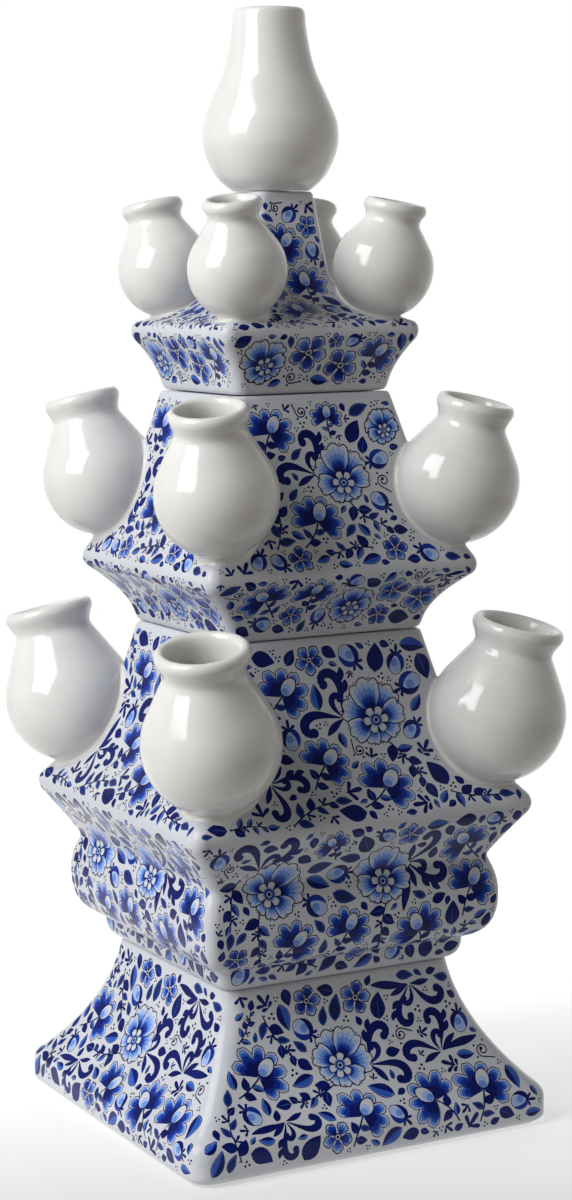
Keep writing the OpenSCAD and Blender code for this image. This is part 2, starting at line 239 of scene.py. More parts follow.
def peony(size, rng):
    """A full flower seen a little from above: its eye lies low, eight scalloped petals reach from
    it to the round of the flower, and a ring of white pearls lies round the eye."""
    low = 0.3 * size
    eye = (0, -low)
    washes = ((0.9, PALE), (0.76, LIGHT), (0.62, MID), (0.54, DARK), (0.44, DEEP))
    patches = []
    for k in (4, 3, 5, 1, 7, 2, 6, 0):
        angle = 2 * np.pi * k / 8 + rng.normal(0, 0.06)
        to_round = low * np.cos(angle) + np.sqrt(size ** 2 - (low * np.sin(angle)) ** 2)
        reach = to_round * rng.uniform(0.9, 1.0)
        patches += moved(shaded_fan(reach, 0.62, 3, washes), angle, eye)
        notch = turned([[s * 0.2 * reach, 0.93 * reach] for s in (-1, 1)], angle, eye)
        patches += [(disc(0.36, p, 6), LINE) for p in notch]
    pearl = inked(lobe(0.4 * size, 0.3 * size), (0.32, WHITE))
    pearl.append((lobe(0.2 * size, 0.15 * size), LIGHT))
    for k in range(6):
        patches += moved(pearl, SIXTH * k + 0.3, eye)
    rings = ((0.15, LINE), (0.1, PALE), (0.06, LINE))
    return patches + [(disc(share * size, eye), tone) for share, tone in rings]


def five_petal(size, rng):
    """An open flower of five notched petals, each pale or dark, round a ringed eye."""
    pale = ((0.88, LIGHT), (0.7, MID), (0.5, DARK))
    dark = ((0.9, MID), (0.76, DARK), (0.5, DEEP))
    patches = []
    for k in range(5):
        washes = pale if rng.random() < 0.6 else dark
        petal = shaded_fan(size * rng.uniform(0.92, 1.0), 0.6, 2, washes)
        patches += moved(petal, FIFTH * k + rng.normal(0, 0.04))
    rings = ((0.24, LINE), (0.16, WHITE), (0.1, LINE))
    return patches + [(disc(share * size), tone) for share, tone in rings]


def blossom(size, rng):
    """A flower from the side on a leafy stalk: long shaded petals lean out behind a pale heart."""
    s = np.linspace(0, 1, 6)
    stalk = size * np.column_stack([rng.uniform(-0.3, 0.3) * s * s, -0.95 * s])
    patches = [(stroke(stalk, 0.32), LINE)]
    for k, side in ((2, -1), (3, 1), (4, -1)):
        patches += moved(leaf(0.42 * size, rng), side * 1.1, stalk[k])
    petals = ((-1.45, 0.8), (1.45, 0.84), (0.0, 0.98), (-1.0, 0.95), (1.0, 1.0), (-0.5, 1.0),
              (0.5, 0.98))
    for angle, share in petals:
        long, lean = size * share * rng.uniform(0.9, 1.0), -0.34 * angle
        petal = inked(lobe(long, 0.5 * size, lean), (0.38, WHITE), (0.78, LIGHT))
        for reach, width, tone in ((0.82, 0.36, MID), (0.72, 0.32, DARK), (0.52, 0.26, DEEP)):
            petal.append((lobe(reach * long, width * size, lean), tone))
        patches += moved(petal, angle)
    a = np.linspace(0, 2 * np.pi, 16, endpoint=False)
    for half, high, level, tone in ((0.25, 0.34, 0.38, LINE), (0.21, 0.3, 0.38, WHITE),
                                    (0.17, 0.18, 0.28, PALE), (0.13, 0.11, 0.2, LIGHT)):
        oval = size * np.column_stack([half * np.cos(a), level + high * np.sin(a)])
        patches.append((oval, tone))
    return patches


def bud(size, rng):
    """A closed oval bud between two dark sepals that follow its sides, with a sprig at its foot."""
    a = np.linspace(0, 2 * np.pi, 14, endpoint=False)
    oval = np.column_stack([0.3 * size * np.cos(a), 0.62 * size + 0.36 * size * np.sin(a)])
    patches = moved(sprig(0.46 * size, rng), np.pi, (0, 0.3 * size))
    patches += inked(oval, (0.32, WHITE), (0.7, PALE))
    patches.append((disc(0.15 * size, (0.05 * size, 0.54 * size)), LIGHT))
    b = np.linspace(-1.75, 0.75, 9)
    half = 0.1 * size * np.sin(np.pi * np.linspace(0.12, 0.98, 9))
    for side, tone in ((-1, DARK), (1, DEEP)):
        sepal = [side * 0.29 * size * np.cos(b), 0.6 * size + 0.37 * size * np.sin(b)]
        patches.append((stroke(np.column_stack(sepal), half), tone))
    return patches


def leaf(size, rng):
    """A pointed leaf: dark, dark with a pale rib, inked round with one half in shade, or dusky."""
    kind, lean = rng.integers(4), rng.uniform(-0.25, 0.25)
    whole = blade(size, (0.64 if kind < 2 else 0.5) * size, lean)
    rib = leaning(size, lean, np.linspace(0, 0.85, 4))
    if kind == 0:
        return [(whole, DEEP)]
    if kind == 1:
        return [(whole, DEEP), (stroke(rib, [0.1, 0.12, 0.1, 0.02]), MID)]
    if kind == 2:
        shade = np.vstack([whole[:len(whole) // 2], rib[::-1]])
        return inked(whole, (0.32, LIGHT), (0.55, MID)) + [(shrunk(shade, 0.2), DEEP)]
    return inked(whole, (0.3, MID), (0.55, DUSK))


def sprig(size, rng):
    """Three or five short fat brush marks from one stalk."""
    sides = ((-0.8, 0.66, 0.12), (0.8, 0.66, 0.12), (-1.0, 0.45, -0.08), (1.0, 0.45, -0.08))
    marks = [(lobe(size, 0.32 * size), DEEP)]
    for angle, share, at in sides[:rng.choice((2, 4))]:
        mark = lobe(share * size, 0.27 * size, -0.2 * np.sign(angle))
        marks += moved([(mark, DEEP)], angle, (0, at * size))
    return marks


def curl(size, rng):
    """A tendril wound into a spiral that ends in a dot, with pips on its back."""
    hand = rng.choice((-1, 1))
    a = np.linspace(0, 2.8 * np.pi, 20)
    r = size * (0.5 - 0.36 * a / a[-1])
    tail = [[0.7 * size, -0.75 * size], [0.58 * size, -0.35 * size]]
    spine = np.vstack([tail, np.column_stack([r * np.cos(a), r * np.sin(a)])]) * (hand, 1)
    patches = [(stroke(spine, 0.26), LINE), (disc(0.14 * size, spine[-1]), LINE)]
    for angle in (0.9, 2.2, 3.5):
        pip = np.array([np.cos(angle), np.sin(angle)]) * 0.68 * size * (hand, 1)
        patches.append((disc(0.5, pip, 6), LINE))
    return patches


def three_dots(size, rng):
    """Three pips in a triangle."""
    spots = [turned([[0, 0.62 * size]], k * THIRD)[0] for k in range(3)]
    return [(disc(0.33 * size, spot, 7), LINE) for spot in spots]


def comma(length, width, bend, hook, drop=True):
    """A fat curling brush mark: its heading turns as bend s + hook s^3, it swells from a thin root,
    and it ends in a round drop or in a point. Gives the drawing, its spine and its heading."""
    s = np.linspace(0, 1, 18)
    heading = bend * s + hook * s ** 3
    steps = np.column_stack([-np.sin(heading), np.cos(heading)])
    spine = np.cumsum(steps, axis=0) * length / len(s)
    half = width / 2 * (0.14 + 0.86 * np.sin((2.35 if drop else 3.1) * s ** 1.2))
    patches = [(stroke(spine, half), DEEP)]
    if drop:
        patches.append((disc(0.5 * width, spine[-1], 9), DEEP))
    return patches, spine, heading


def scroll(size, rng):
    """Scrolled leaves from one root: a tall curl, a small one turned the other way, one that runs
    out and hooks back with pointed lobes on its outer side, and plain leaves between them."""
    hand = rng.choice((-1, 1))
    marks = ((0.1, 1.0, 0.16, -0.5, 4.0, True), (-0.5, 0.55, 0.11, -0.2, -3.6, True),
             (-1.25, 1.05, 0.15, -0.7, 4.4, True), (-2.2, 0.8, 0.16, -0.6, 0.5, False),
             (0.75, 0.42, 0.12, 0.3, 0.0, False), (-1.8, 0.45, 0.12, -0.2, 0.0, False))
    patches = []
    for lean, share, width, bend, hook, drop in marks:
        mark, spine, heading = comma(share * size, width * size, bend * hand, hook * hand, drop)
        if share > 1:
            for k in (5, 8):
                point = comma(0.26 * size, 0.12 * size, 0.8 * hand, 0.0, False)[0]
                mark += moved(point, heading[k] - 0.75 * hand, spine[k])
        patches += moved(mark, lean * hand)
    return patches


def fern(size, rng):
    """A long dark leaf with a white midrib and pointed lobes, which ends in two curls turned apart
    and a sprig between them."""
    bend = rng.uniform(0.5, 0.9) * rng.choice((-1, 1))
    s = np.linspace(0, 0.62, 7)
    spine = size * np.column_stack([-bend * s * s / 2, s])
    half = size * np.array([0.02, 0.04, 0.045, 0.045, 0.04, 0.035, 0.03])
    patches = [(stroke(spine, half), DEEP)]
    for k in range(5):
        for side in (-1, 1):
            point = comma(size * (0.36 - 0.025 * k), 0.07 * size, 0.5 * side, 0.0, False)[0]
            root = spine[k] + turned([[side * 0.02 * size, 0]], bend * s[k])[0]
            patches += moved(point, bend * s[k] - side * 0.8, root)
    heading = bend * s[-1]
    for side in (-1, 1):
        hook = comma(0.56 * size, 0.11 * size, -0.5 * side, -3.6 * side)[0]
        patches += moved(hook, heading, spine[-1] + turned([[side * 0.25, 0]], heading)[0])
    root = spine[-1] + turned([[0, 0.12 * size]], heading)[0]
    patches += moved(sprig(0.3 * size, rng), heading, root)
    return patches + [(stroke(spine, 0.16), WHITE)]


def branch(size, rng):
    """A bent stem with leaves in turn to its left and right, sprigs, and a leaf at its tip."""
    bend = rng.uniform(0.2, 0.4) * rng.choice((-1, 1))
    s = np.linspace(0, 1, 9)
    spine = leaning(size, bend, s)
    patches = []
    for k in range(1, 8):
        side = 1 if k % 2 else -1
        small = sprig(0.2 * size, rng) if k % 3 == 0 else leaf(size * (0.36 - 0.02 * k), rng)
        patches += moved(small, -side * (0.95 - 0.04 * k) - 2 * bend * s[k], spine[k])
        pip = spine[k] + turned([[0.1 * size, 0]], side * 1.2)[0] * -side
        patches.append((disc(0.32, pip, 6), LINE))
    patches += moved(leaf(0.34 * size, rng), -2 * bend, spine[-1])
    return patches + [(stroke(spine, np.linspace(0.3, 0.14, 9)), LINE)]


def cluster(size, rng):
    """A five-petalled flower with leaves, sprigs and a small bud on a stalk round it."""
    patches = []
    around = rng.uniform(0, FULL) + np.arange(6) * SIXTH + rng.normal(0, 0.12, 6)
    for k, angle in enumerate(around):
        at = turned([[0, 0.82 * size]], angle)[0]
        small = leaf(0.95 * size, rng) if k % 2 else sprig(0.75 * size, rng)
        patches += moved(small, angle + rng.normal(0, 0.25), at)
    s = np.linspace(0, 1, 5)
    stalk = np.column_stack([0.25 * size * s ** 2, np.linspace(0.8, 1.9, 5) * size])
    budding = [(stroke(stalk, 0.15), LINE)] + moved(bud(0.8 * size, rng), -0.4, stalk[-1])
    return patches + moved(budding, around[0] + 0.5) + five_petal(size, rng)


def spray(size, rng):
    """A peony with scrolled leaves from one side, a leafy stem from its foot and a bud beyond."""
    hand = rng.choice((-1, 1))
    patches = moved(scroll(1.75 * size, rng), -1.0 * hand, (0.85 * size * hand, 0.1 * size))
    patches += moved(branch(1.5 * size, rng), np.pi - 0.45 * hand, (0, -0.9 * size))
    patches += moved(bud(0.85 * size, rng), 1.45 * hand, (-0.95 * size * hand, 0.15 * size))
    patches += moved(leaf(0.8 * size, rng), 0.5 * hand, (-0.55 * size * hand, 0.85 * size))
    return patches + peony(size, rng)


def ink_at(points, patches):
    """The tone of the last patch that each point lies in: an odd number of edges to its right."""
    order = np.argsort(points[:, 1])
    x, y = points[order].T
    ink = np.full(len(points), WHITE)
    for outline, tone in patches:
        (left, low), (right, high) = outline.min(0), outline.max(0)
        near = np.arange(*np.searchsorted(y, (low, high)))
        near = near[(x[near] > left) & (x[near] < right)]
        a, b = outline, np.roll(outline, -1, 0)
        px, py = x[near, None], y[near, None]
        crossed = (a[:, 1] > py) != (b[:, 1] > py)
        at = a[:, 0] + (b[:, 0] - a[:, 0]) * (py - a[:, 1]) / (b[:, 1] - a[:, 1] + 1e-12)
        ink[order[near[(crossed & (px < at)).sum(1) % 2 == 1]]] = tone
    return ink


def fill(seed, half_width, depth, wish_list, covered):
    """Lays drawings out on a panel, largest first, each in the snuggest of 600 random places.

    half_width(t) is the panel's half width at height t, up to depth, and covered(x, t) says where
    it stays white. A map of 0.5 mm cells holds what is taken, with 0.5 mm of white round it, and
    what is near: within four cells. A kind of drawing is given up after six that found no room.
    """
    rng = np.random.default_rng(seed)
    cell, rim, tries, close, patience = 0.5, 8, 600, 4, 5
    wide = half_width(np.linspace(0, depth, 40)).max()
    gx = np.arange(-wide - rim, wide + rim, cell)
    gy = np.arange(-rim, depth + rim, cell)
    x, y = np.meshgrid(gx, gy)
    shut = (np.abs(x) > half_width(y)) | (y < 0) | (y > depth) | covered(x, y)
    near = np.zeros(shut.shape)
    steps = [(dx, dy) for dy in range(-close, close + 1) for dx in range(-close, close + 1)]
    patches = []
    for draw, low, high, count, lean in wish_list:
        missed = 0
        for _ in range(count):
            drawing = draw(rng.uniform(low, high), rng)
            outer = np.vstack([p for p, _ in drawing])
            spans = [np.arange(lo, hi + cell, cell) for lo, hi in zip(outer.min(0), outer.max(0))]
            cells = np.stack(np.meshgrid(*spans), -1).reshape(-1, 2)
            cells = cells[ink_at(cells, [(p, 1) for p, _ in drawing]) > 0]
            px, py = np.vstack([cells, outer]).T
            angle = rng.uniform(-lean, lean, tries)
            open_row, open_col = np.nonzero(~shut)
            pick = rng.integers(len(open_row), size=tries)
            at = np.column_stack([gx[open_col[pick]], gy[open_row[pick]]])
            c, s = np.cos(angle)[:, None], np.sin(angle)[:, None]
            col, row = px * c - py * s + at[:, :1] - gx[0], px * s + py * c + at[:, 1:] - gy[0]
            col = np.rint(col / cell).astype(int).clip(0, len(gx) - 1)
            row = np.rint(row / cell).astype(int).clip(0, len(gy) - 1)
            free = ~shut[row, col].any(1)
            if not free.any():
                missed += 1
                if missed > patience:
                    break
                continue
            snug = np.where(free, near[row, col].sum(1) + rng.random(tries), -1)
            best = int(np.argmax(snug))
            patches += moved(drawing, angle[best], at[best])
            for dx, dy in steps:
                r, c = (row[best] + dy).clip(0, len(gy) - 1), (col[best] + dx).clip(0, len(gx) - 1)
                near[r, c] = 1
                if dx * dx + dy * dy < 2:
                    shut[r, c] = True
    return patches


def wishes(scale, large, middling, small):
    """The painter's list for a panel, large first: drawing, least and greatest size, count, lean."""
    few, upright, free = (middling + 1) // 2, 1.0, np.pi
    sized = [
        (spray, 12, 14, large, 0.7), (blossom, 11, 13, middling, upright),
        (scroll, 17, 21, middling, free), (branch, 18, 22, middling, free),
        (cluster, 7, 8.6, middling, free), (fern, 19, 23, few, free),
        (peony, 8, 9.5, middling, upright), (blossom, 7.5, 9.5, middling, upright),
        (five_petal, 5.6, 7, middling, free), (bud, 9, 11, middling, free),
        (scroll, 11, 15, middling, free), (branch, 11, 14, middling, free),
        (curl, 4.5, 5.5, few, free), (leaf, 9, 11, small // 4, free),
        (five_petal, 3.8, 4.8, middling, free), (sprig, 6, 7.5, small, free),
        (leaf, 6, 7.5, small // 2, free), (three_dots, 1.4, 1.7, small // 5, free),
        (sprig, 4, 5, 2 * small, free), (leaf, 3.6, 4.6, small // 2, free),
        (sprig, 2.8, 3.4, small, free), (three_dots, 1.1, 1.3, small // 2, free),
    ]
    return [(draw, low * scale, high * scale, *rest) for draw, low, high, *rest in sized]


def cut_plane(edge, loose, lines):
    """Triangles of the panel inside edge, cut along lines (pairs of rows of loose): the points, the
    triangles and, for each point, the row of edge that it is, or -1."""
    count, snap = len(edge), 1e-4
    pairs = (np.asarray(lines) + count).tolist()
    points = np.vstack([edge, loose]).tolist()
    flat = delaunay_2d_cdt(points, pairs, [list(range(count))], 1, snap, True)
    source = np.array([min(src) if src else count for src in flat[3]])
    spot = np.array([tuple(v) for v in flat[0]])
    return spot, np.array(flat[2]), np.where(source < count, source, -1)


def parting_lines(edge, patches, slack=0.045):
    """The lines of a painting that part two tones, as points and pairs of them.

    All outlines are cut against each other, edges with one tone on both sides are dropped, and
    points that lie within slack of the chord of their two neighbours are taken out in eight rounds.
    """
    starts = np.cumsum([0] + [len(p) for p, _ in patches])
    rings = [np.arange(s, s + len(p)) for s, (p, _) in zip(starts, patches)]
    rings = np.vstack([np.stack([a, np.roll(a, -1)], 1) for a in rings])
    spot, triangles, _ = cut_plane(edge, np.vstack([p for p, _ in patches]), rings)
    ink = ink_at(spot[triangles].mean(1), patches)
    sides = np.sort(triangles[:, [0, 1, 1, 2, 2, 0]].reshape(-1, 2), 1)
    owner = np.repeat(np.arange(len(triangles)), 3)
    order = np.lexsort((sides[:, 1], sides[:, 0]))
    sides, owner = sides[order], owner[order]
    shared = np.nonzero((sides[1:] == sides[:-1]).all(1))[0]
    lines = sides[shared[ink[owner[shared]] != ink[owner[shared + 1]]]]
    rng = np.random.default_rng(7)
    for _ in range(8):
        ends = lines.ravel()
        order = np.argsort(ends, kind="stable")
        count = np.bincount(ends, minlength=len(spot))
        first = np.cumsum(count) - count
        point = np.nonzero(count == 2)[0]
        half = np.stack([order[first[point]], order[first[point] + 1]], 1)
        near = lines[half // 2, 1 - half % 2]
        chord = spot[near[:, 1]] - spot[near[:, 0]]
        arm = spot[point] - spot[near[:, 0]]
        length = np.linalg.norm(chord, axis=1)
        area = np.abs(chord[:, 0] * arm[:, 1] - chord[:, 1] * arm[:, 0])
        flat_enough = area < slack * length
        rank = np.full(len(spot), -1.0)
        rank[point[flat_enough]] = rng.random(int(flat_enough.sum()))
        out = (rank[point] > rank[near].max(1)) & (length > 0)
        held = np.ones(len(lines), bool)
        held[half[out] // 2] = False
        lines = np.vstack([lines[held], near[out]])
    used, lines = np.unique(lines, return_inverse=True)
    return spot[used], lines.reshape(-1, 2)


def ring_faces(rows, columns, closed):
    """The numbers of a grid of ring points, and the four-sided faces between them: each ring closes
    on itself, and where closed is true the last ring joins the first."""
    index = np.arange(rows * columns).reshape(rows, columns)
    after = np.roll(index, -1, 1)
    quads = np.stack([index, after, np.roll(after, -1, 0), np.roll(index, -1, 0)], 2)
    return index, quads if closed else quads[:-1]


def square_body(name, outline, corner, panels, closed):
    """A body of square plan with round corners, with its painting laid into its skin.

    Each outline point (half side h, height z) gives one ring: quarter circles of radius corner
    about (h - corner, h - corner) and its turns, joined by straight sides. Panels (first row, last
    row, patches) replace the sides and most of each corner by a plane triangulation of the
    patches in (x along the ring, t along the outline), bent onto the body. Normals come from the
    outline's slope.
    """
    h, z = outline.T
    bends, lap, pitch = 8, 3, 1.6
    each = bends + 1
    columns = 4 * each
    r = np.minimum(corner, h * 0.98)
    t = run(outline)
    if closed:
        slope = np.roll(outline, -1, 0) - np.roll(outline, 1, 0)
    else:
        slope = np.gradient(outline, axis=0)
    slope /= np.linalg.norm(slope, axis=1)[:, None]
    out, up = slope[:, 1], -slope[:, 0]
    turn = (np.pi / 2 * (np.arange(4)[:, None] + np.arange(each) / bends)).ravel()
    spoke = np.stack([np.cos(turn), np.sin(turn)], 1)
    middle = np.repeat(np.pi / 2 * np.arange(4) + np.pi / 4, each)
    centre = np.sqrt(2) * np.stack([np.cos(middle), np.sin(middle)], 1)
    ring = (h - r)[:, None, None] * centre + r[:, None, None] * spoke

    def with_third(flat, value):
        return np.dstack([flat, np.repeat(value[:, None], columns, 1)]).reshape(-1, 3)

    verts, normals = [with_third(ring, z)], [with_third(out[:, None, None] * spoke, up)]
    index, quads = ring_faces(len(h), columns, closed)
    bare = np.ones(quads.shape[:2], bool)
    covered = (np.arange(4)[:, None] * each + bends + np.arange(-lap, lap + 1)) % columns
    for first, last, _ in panels:
        bare[first:last, covered.ravel()] = False
    faces = quads[bare].tolist()
    if not closed:
        faces += [index[0, ::-1].tolist(), index[-1].tolist()]
    tones = [WHITE] * len(faces)
    total = index.size
    for first, last, patches in panels:
        span = np.arange(first, last + 1)
        w, y = (h - r)[span], t[span] - t[first]
        reach = w + r[span] * np.pi / 2 * lap / bends
        over = (w + r[span] * np.pi / 2 * np.arange(lap)[:, None] / bends)[:, [0, -1]]
        bottom, top = np.vstack([-over[::-1], over]).T
        edge = np.vstack([
            np.column_stack([reach, y]), np.column_stack([top[::-1], np.full(2 * lap, y[-1])]),
            np.column_stack([-reach, y])[::-1], np.column_stack([bottom, np.zeros(2 * lap)])])
        level = np.arange(1.0, y[-1] - 0.6, pitch)
        gx, gy = np.meshgrid(np.arange(-w.max(), w.max(), 2 * pitch), level)
        gx = gx + pitch * (np.arange(len(gx))[:, None] % 2)
        inside = np.abs(gx) < np.interp(gy, y, w) - 1.0
        bends_at = [np.interp(level, y, w + share * (reach - w)) for share in (0, 0.36, 0.7)]
        bends_at = [np.column_stack([s * b, level]) for b in bends_at for s in (-1, 1)]
        drawn, lines = parting_lines(edge, patches)
        loose = np.vstack([drawn, np.column_stack([gx[inside], gy[inside]]), *bends_at])
        spot, triangles, source = cut_plane(edge, loose, lines)
        middle = spot[triangles].mean(1)
        held = np.abs(middle[:, 0]) < np.interp(middle[:, 1], y, reach)
        triangles, ink = triangles[held], ink_at(middle[held], patches)
        on_edge = source >= 0
        fresh = np.cumsum(~on_edge) - 1
        hh, zz, oo, uu, rr = (np.interp(spot[:, 1], y, v[span]) for v in (h, z, out, up, r))
        hand, far = np.sign(spot[:, 0]), np.abs(spot[:, 0])
        bend = np.maximum(far - (hh - rr), 0) / rr
        along_x = hand * (np.minimum(far, hh - rr) + rr * np.sin(bend))
        along_n = hh - rr + rr * np.cos(bend)
        for side in range(4):
            n = np.array([np.cos(np.pi / 2 * side), np.sin(np.pi / 2 * side)])
            x = np.array([-n[1], n[0]])
            flat = along_n[:, None] * n + along_x[:, None] * x
            verts.append(np.column_stack([flat, zz])[~on_edge])
            flat = np.cos(bend)[:, None] * n + (hand * np.sin(bend))[:, None] * x
            normals.append(np.column_stack([oo[:, None] * flat, uu])[~on_edge])
            ahead, behind = side * each, ((side - 1) % 4) * each + bends - lap
            across = np.concatenate([behind + 1 + np.arange(lap), ahead + np.arange(lap)])
            rim = np.concatenate([index[span, ahead + lap], index[last, across[::-1]],
                                  index[span, behind][::-1], index[first, across]])
            number = np.where(on_edge, rim[np.maximum(source, 0)], total + fresh)
            faces += number[triangles].tolist()
            tones += ink.tolist()
            total += int((~on_edge).sum())
    return skin_mesh(name, np.vstack(verts), np.vstack(normals), faces, tones)


def put(name, data):
    """A new object of the scene, at the origin, for a mesh, a light or a camera."""
    piece = bpy.data.objects.new(name, data)
    bpy.context.scene.collection.objects.link(piece)
    return piece


def skin_mesh(name, verts, normals, faces, tones):
    """One mesh object in metres with set normals, and its tone and wash as the map OFBake."""
    mesh = bpy.data.meshes.new(name)
    mesh.from_pydata((verts * MM).tolist(), [], faces)
    sizes = np.array([len(f) for f in faces])
    corner = np.concatenate([np.arange(k) for k in sizes])
    loop_tone = np.repeat(np.array(tones), sizes)
    point = np.concatenate(faces)
    shift = noise(verts, 38.0, 5) * 0.5 + noise(verts, 9.0, 8) * 0.5
    u = (loop_tone + 0.5) / BANDS + np.where(corner % 2, 0.03, -0.03)
    v = np.clip(0.5 + 0.4 * shift[point], 0.06, 0.9) + np.where(corner % 4 > 1, 0.05, 0.0)
    mesh.uv_layers.new(name="OFBake").data.foreach_set("uv", np.column_stack([u, v]).ravel())
    mesh.polygons.foreach_set("use_smooth", np.ones(len(faces), bool))
    mesh.materials.append(painted_glaze)
    mesh.validate()
    normals = normals / (np.linalg.norm(normals, axis=1)[:, None] + 1e-12)
    mesh.normals_split_custom_set_from_vertices(normals.tolist())
    return put(name, mesh)


def row_at(outline, z, first=0):
    """The first row after first whose height passes z."""
    return first + int(np.argmax(outline[first:, 1] >= z))


def panel(outline, corner, first, last, margin, list_of_wishes, seed, bulb=None):
    """A painted panel between two rows of an outline: (first, last, patches), margin kept white.

    bulb gives (distance out along both sides, height, radius) of the balls that cover its corners.
    """
    along = run(outline)
    y = along[first:last + 1] - along[first]
    h, z = outline[first:last + 1].T
    low, high = margin

    def width(t):
        return np.interp(t + low, y, h) - 0.411 * corner - 0.4

    def covered(x, t):
        if bulb is None:
            return np.zeros(x.shape, bool)
        far, level, radius = bulb
        out, up = np.interp(t + low, y, h) - far, np.interp(t + low, y, z) - level
        return (np.abs(x) - far) ** 2 + out ** 2 + up ** 2 < radius ** 2

    patches = fill(seed, width, y[-1] - low - high, list_of_wishes, covered)
    return first, last, [(p + (0, low), tone) for p, tone in patches]


rim_top = (foot_half - 3.5, foot_rim_z + 3.6)
inner_half = foot_half - foot_wall
foot_outline = softened([
    [(foot_half - 2.5, 0.6), (foot_half, 2.5), (foot_half, foot_rim_z - 2)],
    arc((foot_half, foot_rim_z - 2), (foot_half, foot_rim_z + 1), rim_top),
    arc(rim_top, (49.7, 35.75), (waist_half, waist_z)),
    [(waist_half - foot_wall, waist_z)],
    arc((waist_half - foot_wall, waist_z), (43.75, 33), (inner_half, foot_rim_z - 3)),
    [(inner_half, 0.6), (inner_half + 1.2, 0.0), (foot_half - 3.4, 0.0)],
], 0.7, closed=True)
foot_top = int(np.argmax(foot_outline[:, 1] > waist_z - 1.2))
foot_wishes = wishes(1.0, 3, 4, 40)
foot_painting = panel(foot_outline, foot_corner, 2, foot_top, (1.5, 1.5), foot_wishes, 11)
foot = square_body("foot_glazed", foot_outline, foot_corner, [foot_painting], True)
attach(foot, "lower_section")
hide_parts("foot")

# LOWER TIER
# The largest reservoir, slip-cast in one piece with a bead, a swelling bulge, an eave and a hollow
# roof that runs up to a square mouth. It stands on the foot and is painted on all four sides.
tier_corner = 4.5
lower_eave = 118
lower_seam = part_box("lower_tier")[1].z / MM
lower_floor = waist_z + 6
lower_outline = softened([
    [(8, waist_z)],
    [(waist_half - 6, waist_z), (waist_half - 0.5, waist_z)],
    arc((waist_half - 0.5, waist_z), (49.3, 60.5), (49.75, 65.6)),
    arc((49.75, 65.6), (49.9, 67.0), (49.7, 67.8)),
    arc((49.7, 67.8), (59.3, 69.2), (59.5, 83.5)),
    arc((59.5, 85.0), (59.5, 91.5), (56.25, 98)),
    arc((56.25, 98), (57.45, 101), (67.4, 115)),
    arc((67.4, 115), (69.0, lower_eave), (67.4, 121)),
    arc((67.4, 121), (48.9, 141.5), (43.75, 162)),
    [(39.25, lower_seam), (34.25, lower_seam), (34.25, 168.5), (38.75, 162)],
    arc((38.75, 162), (46.0, 137), (58.5, lower_eave)),
    [(51.25, 98), (51.25, 79), (39.75, lower_floor), (8, lower_floor)],
], 0.8)
under = int(np.argmax(lower_outline[:, 0] > waist_half + 1.5))
nose = row_at(lower_outline, lower_eave, under)
mouth = row_at(lower_outline, lower_seam - 1.2, under)
lower_roof = lower_outline[nose:row_at(lower_outline, lower_seam - 0.6, under)]
lower_panels = [
    panel(lower_outline, tier_corner, under, nose, (0.6, 1.0), wishes(0.92, 4, 5, 50), 21),
    panel(lower_outline, tier_corner, nose, mouth, (1.0, 1.6), wishes(1.0, 3, 4, 40), 23,
          (58, 150, 27)),
]
lower_tier = square_body("lower_tier_glazed", lower_outline, tier_corner, lower_panels, False)
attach(lower_tier, "lower_section")
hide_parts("lower_tier")

# MIDDLE TIER
# A smaller reservoir of the same clay, with a cove below its eave. Its floor has a square spigot
# underneath that drops into the mouth of the tier below, so it lifts off.
middle_low, middle_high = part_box("middle_tier")
spigot_z, upper_seam = middle_low.z / MM, middle_high.z / MM
middle_eave = 203.5
middle_base, middle_floor = lower_seam + 0.3, lower_seam + 6
middle_outline = softened([
    [(8, lower_seam + 0.1), (28.5, lower_seam + 0.1), (29.25, lower_seam - 1)],
    [(29.25, spigot_z), (33.25, spigot_z), (33.25, middle_base), (38.7, middle_base)],
    [(39.4, lower_seam + 1.2)],
    arc((39.5, lower_seam + 1.2), (40.7, 190.65), (53.4, 200.5)),
    arc((53.4, 200.5), (55.0, middle_eave), (53.4, 206.5)),
    arc((53.4, 206.5), (41.7, 226.25), (36.5, 246)),
    [(31.5, upper_seam), (26.5, upper_seam), (26.5, 253.5), (31.5, 246)],
    arc((31.5, 246), (39.0, 222), (44.5, middle_eave)),
    [(34.5, middle_floor), (8, middle_floor)],
], 0.6)
cove = row_at(middle_outline, lower_seam + 2.0, int(np.argmax(middle_outline[:, 0] > 37)))
nose = row_at(middle_outline, middle_eave, cove)
mouth = row_at(middle_outline, upper_seam - 1.2, cove)
middle_roof = middle_outline[nose:row_at(middle_outline, upper_seam - 0.6, cove)]
open_flowers = [(peony, 8.6, 9.4, 1, 1.0), (five_petal, 7.0, 8.0, 2, np.pi)]
cove_wishes = open_flowers + wishes(0.85, 0, 3, 40)
middle_panels = [
    panel(middle_outline, tier_corner, cove, nose, (0.4, 1.0), cove_wishes, 31),
    panel(middle_outline, tier_corner, nose, mouth, (1.0, 1.6), wishes(0.9, 2, 4, 40), 33,
          (48, 233, 24.3)),
]
middle_tier = square_body("middle_tier_glazed", middle_outline, tier_corner, middle_panels, False)
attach(middle_tier, "middle_section")
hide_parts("middle_tier")

